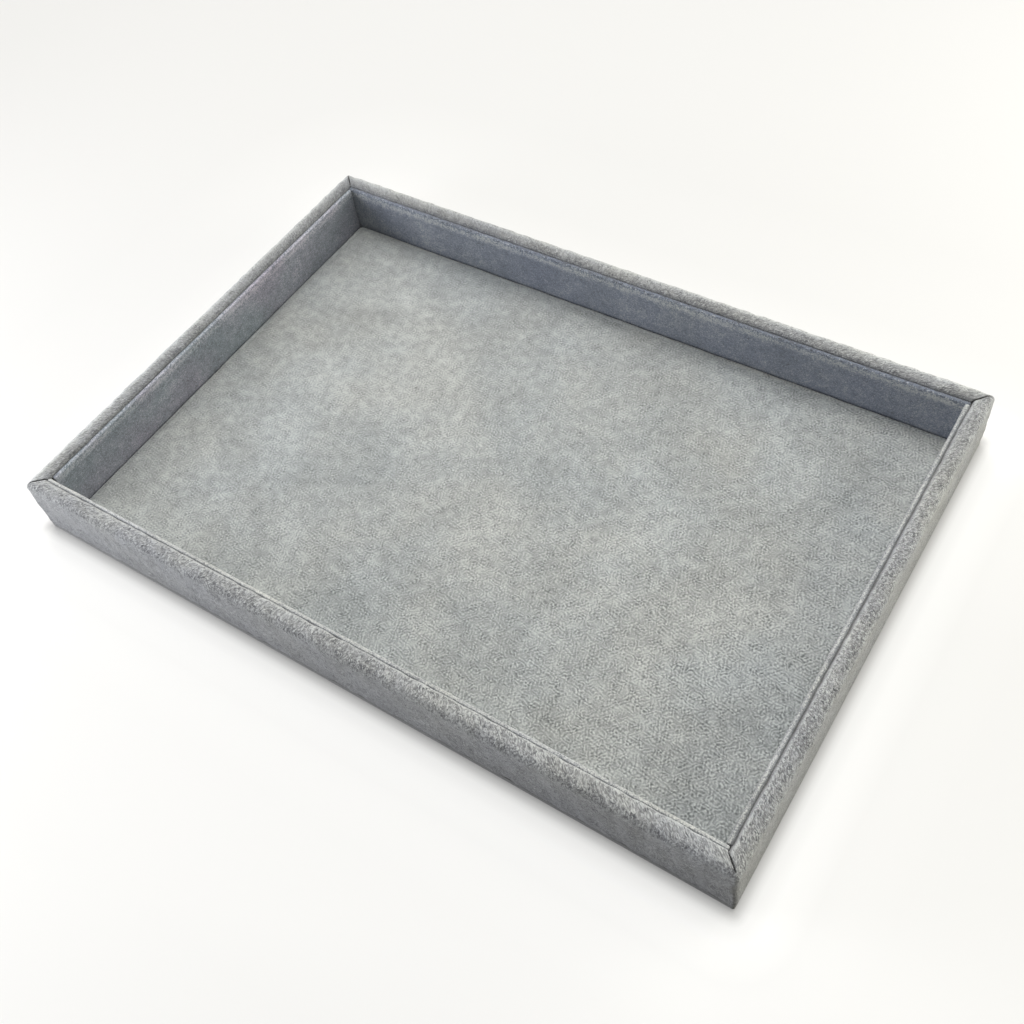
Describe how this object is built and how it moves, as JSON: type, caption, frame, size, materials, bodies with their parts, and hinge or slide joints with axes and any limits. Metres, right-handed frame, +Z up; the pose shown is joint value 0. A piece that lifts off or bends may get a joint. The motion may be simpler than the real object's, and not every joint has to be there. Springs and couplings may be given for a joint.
{
  "type": "jewelry tray",
  "caption": "Shallow rectangular velvet jewelry tray: a mitred padded-looking rim, lined inner walls and a loose floor pad that lifts out.",
  "frame": {"origin": "on the surface that the tray stands on, under the middle of the tray", "axes": "+X along the long sides, +Y from the front to the back, +Z up"},
  "size_m": [0.35, 0.24, 0.032],
  "materials": {
    "frame_velvet": "short-pile grey velvet over the rails",
    "liner_velvet": "short-pile grey velvet, smooth nap",
    "floor_velvet": "short-pile grey velvet, crushed and mottled nap",
    "base_velvet": "short-pile grey velvet, flat",
    "fibreboard": "bare medium-density fibreboard",
    "greyboard": "grey packaging board",
    "backing_card": "dark grey card, matt",
    "brad_wire": "bright steel wire"
  },
  "bodies": {
    "tray": {"base_board": "fibreboard", "base_velvet_cover": "base_velvet", "base_brads": "brad_wire", "front_rail": "fibreboard", "back_rail": "fibreboard", "left_rail": "fibreboard", "right_rail": "fibreboard", "corner_brads": "brad_wire", "frame_velvet_wrap": "frame_velvet", "front_liner_board": "greyboard", "back_liner_board": "greyboard", "left_liner_board": "greyboard", "right_liner_board": "greyboard", "front_liner_velvet": "liner_velvet", "back_liner_velvet": "liner_velvet", "left_liner_velvet": "liner_velvet", "right_liner_velvet": "liner_velvet"},
    "floor_pad": {"floor_pad_board": "greyboard", "floor_pad_velvet": "floor_velvet", "floor_pad_backing": "backing_card"}
  },
  "joints": [
    {"name": "floor_pad_lift", "type": "slide", "parent": "tray", "child": "floor_pad", "axis": [0, 0, 1], "range_m": [0, 0.04]}
  ]
}
